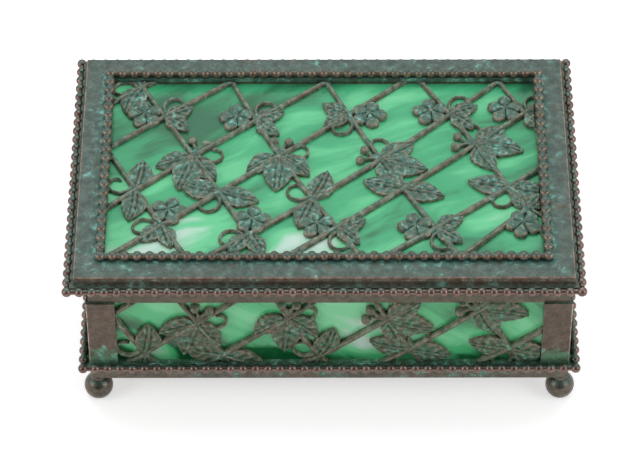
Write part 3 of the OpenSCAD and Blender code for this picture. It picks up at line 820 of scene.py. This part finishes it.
def bronze(name, group, metallic=0.3, bump=0.00014, smoother=0.0, **values):
    """A bronze material: the aged bronze group with its own values, under one Principled shader. Its
    roughness is the group's less smoother."""
    material, net, aged = grouped_material(name, group, values)
    relief = net.node("ShaderNodeBump", {"Height": aged["Height"], "Distance": bump, "Strength": 0.8})
    rough = net.less(aged["Roughness"], smoother) if smoother else aged["Roughness"]
    shader = net.node("ShaderNodeBsdfPrincipled", {
        "Base Color": aged["Colour"], "Metallic": metallic, "Roughness": rough, "Specular IOR Level": 0.25,
        "Normal": relief.outputs["Normal"]})
    net.node("ShaderNodeOutputMaterial", {"Surface": shader.outputs[0]})
    return material


def marbled_glass(name, group, **values):
    """Opalescent glass: the marble group under a smooth shader that lets a little light through."""
    material, net, marble = grouped_material(name, group, values)
    wave = net.node("ShaderNodeBump", {"Height": marble["Height"], "Distance": 0.0004, "Strength": 0.5})
    shader = net.node("ShaderNodeBsdfPrincipled", {
        "Base Color": marble["Colour"], "Roughness": 0.16, "Metallic": 0.0, "Transmission Weight": 0.12,
        "IOR": 1.5, "Normal": wave.outputs["Normal"]})
    net.node("ShaderNodeOutputMaterial", {"Surface": shader.outputs[0]})
    return material


def dress(names, material, rounding=0.0):
    """Gives CAD nodes a material. Where rounding is set, their sharp edges are eased by that many
    millimetres."""
    for name in names:
        node = NODES[name]
        node.data.materials.clear()
        node.data.materials.append(material)
        if rounding:
            weld = node.modifiers.new("joined", "WELD")
            weld.merge_threshold = 1e-6
            ease = node.modifiers.new("eased_edges", "BEVEL")
            ease.width, ease.segments, ease.limit_method = rounding * MM, 2, "ANGLE"
            ease.angle_limit, ease.harden_normals = math.radians(35), True


# ------------------------------------------------------------------ the box

place_camera()
build_studio()

aged = make_bronze_group(make_relief_group())
marble = make_marble_group()

# the metals; in each, recesses darken towards a dark colour, partly grime and partly painted shade
ledge = LEDGE_Z * MM
# Slants lightens chamfers and other slanting faces, partly wear and partly a painted highlight
top_bronze = bronze("lid_top_bronze", aged, Patina_share=0.5, Verdigris_share=0.4, Slants=0.9, Reach=0.003,
                    Worn=tone(112, 76, 60), Patina=tone(84, 98, 92), Stain=0.3)
frame_bronze = bronze("frame_bronze", aged, Patina_share=0.46, Verdigris_share=0.32, Slants=0.5, Wear=0.4,
                      Worn=tone(102, 90, 79), Patina=tone(84, 98, 88), Dirt_depth=0.4)
band_bronze = bronze("band_bronze", aged, Patina_share=0.54, Verdigris_share=0.34, Slants=0.5, Dirt_depth=0.3,
                     Worn=tone(116, 103, 92), Patina=tone(100, 112, 101), Verdigris=tone(84, 132, 110),
                     Pool=ledge)
post_bronze = bronze("post_bronze", aged, Patina_share=0.34, Verdigris_share=0.34, Slants=1.0,
                     Dirt_depth=0.15, Verdigris=tone(106, 148, 118), Fleck=tone(112, 172, 158),
                     Rubbed=tone(178, 152, 136), Pool=ledge)
bead_bronze = bronze("bead_bronze", aged, metallic=0.65, smoother=0.1, bump=0.00005, Patina_share=0.22,
                     Verdigris_share=0.28, Worn=tone(118, 96, 88), Dirt_depth=0.9)
panel_bead_bronze = bronze("panel_bead_bronze", aged, metallic=0.5, smoother=0.03, bump=0.00006,
                           Patina_share=0.32, Verdigris_share=0.36, Worn=tone(138, 116, 101), Dirt_depth=0.6)
foot_bronze = bronze("foot_bronze", aged, metallic=0.6, smoother=0.1, bump=0.00005, Patina_share=0.36,
                     Verdigris_share=0.24, Worn=tone(98, 92, 82))
inner_bronze = bronze("inner_bronze", aged, Patina_share=0.25, Verdigris_share=0.2, Worn=tone(94, 80, 68))
clip_bronze = bronze("clip_bronze", aged, metallic=0.6, Patina_share=0.2, Verdigris_share=0.2,
                     Worn=tone(140, 118, 84))


def openwork_bronzes(name, green, patina, **values):
    """The metals of one pierced sheet: its plain surround, its brown stems and its leaves, which are
    greener and speckled. Green and patina are the share and the colour of the patina."""
    common = dict(Patina=patina, Worn=tone(97, 90, 76), Rubbed=tone(138, 127, 111), **values)
    return {
        "surround": bronze(name + "_sheet_bronze", aged, Patina_share=green - 0.18, Verdigris_share=0.26,
                           Dirt_depth=0.5, Pool=ledge, **common),
        "trellis": bronze(name + "_stem_bronze", aged, Patina_share=green - 0.06, Verdigris_share=0.45,
                          Carved=0.6, Reach=0.0016, Fineness=1.3, **common),
        "foliage": bronze(name + "_leaf_bronze", aged, bump=0.0002, Patina_share=green, Verdigris_share=0.5,
                          Carved=0.9, Reach=0.0014, Fineness=1.7, Dirt_depth=0.85, **common)}


edge_rounding = 0.15
dress(["lid_plate"], top_bronze)
dress(["rim_" + s for s in SIDES], frame_bronze, edge_rounding)
dress(["base_band_" + s for s in SIDES], band_bronze, edge_rounding)
dress(["post_" + c for c in CORNERS], post_bronze)
dress([p + "_beading_" + s for p in ("rim", "base") for s in SIDES], bead_bronze)
dress(["panel_beading_" + s for s in SIDES], panel_bead_bronze)
dress(["foot_" + c for c in CORNERS], foot_bronze)
dress(["base_plate", "body_hinge_leaf", "lid_hinge_leaf", "hinge_pin"], inner_bronze)
dress(["clips_" + s for s in SIDES] + ["lid_clips"], clip_bronze)

# the panes: the direction that the glass is drawn out in, and the middles and sizes of its paler patches
dress(["lid_glass"], marbled_glass(
    "lid_glass_green", marble, Turn=(0, 0, 0.44),
    Cloud=(-0.058, -0.034, 0.056), Cloud_size=(0.045, 0.024, 0.03),
    Streak=(-0.012, -0.036, 0.056), Streak_size=(0.03, 0.011, 0.03)))
quarter_turn = 1.571
wall_panes = {
    "front": dict(Turn=(0, 0.6, 0), Place=(0.04, 0, 0), Cloud=(0.008, -0.045, 0.032),
                  Cloud_size=(0.052, 0.04, 0.03), Streak=(-0.06, -0.045, 0.023)),
    "right": dict(Turn=(0, 0.3, quarter_turn), Place=(0.3, 0, 0), Cloud=(0.075, 0.02, 0.04),
                  Cloud_size=(0.03, 0.02, 0.02), Streak=(0.075, -0.02, 0.02)),
    "back": dict(Turn=(0, -0.4, 0), Place=(0.6, 0, 0), Cloud=(0.03, 0.045, 0.03),
                 Cloud_size=(0.04, 0.03, 0.02), Streak=(-0.03, 0.045, 0.03)),
    "left": dict(Turn=(0, -0.3, quarter_turn), Place=(0.9, 0, 0), Cloud=(-0.072, -0.02, 0.04),
                 Cloud_size=(0.03, 0.02, 0.02), Streak=(-0.072, 0.02, 0.02))}
# each wall pane is darker along its foot: painted shade above the ledge
for side, values in wall_panes.items():
    dress(["glass_" + side], marbled_glass(
        side + "_glass_green", marble, Streak_size=(0.024, 0.005, 0.006), Shade=0.05,
        Deep_below=(OPEN_LOW + 1.5) * MM, Deep=tone(22, 108, 60), Middle=tone(92, 214, 142),
        Bright=tone(136, 238, 172), Pale=tone(222, 248, 236), **values))

# the pierced sheets; the dark colour given to each darkens its recesses, partly grime and partly painted
# shade
build_lid_openwork(openwork_bronzes("lid", 0.5, tone(82, 106, 94), Dirt=tone(42, 56, 46)))
build_wall_openwork(openwork_bronzes("wall", 0.6, tone(89, 110, 89), Dirt=tone(54, 68, 54),
                                     Verdigris=tone(80, 128, 102), Fleck=tone(112, 168, 146)))
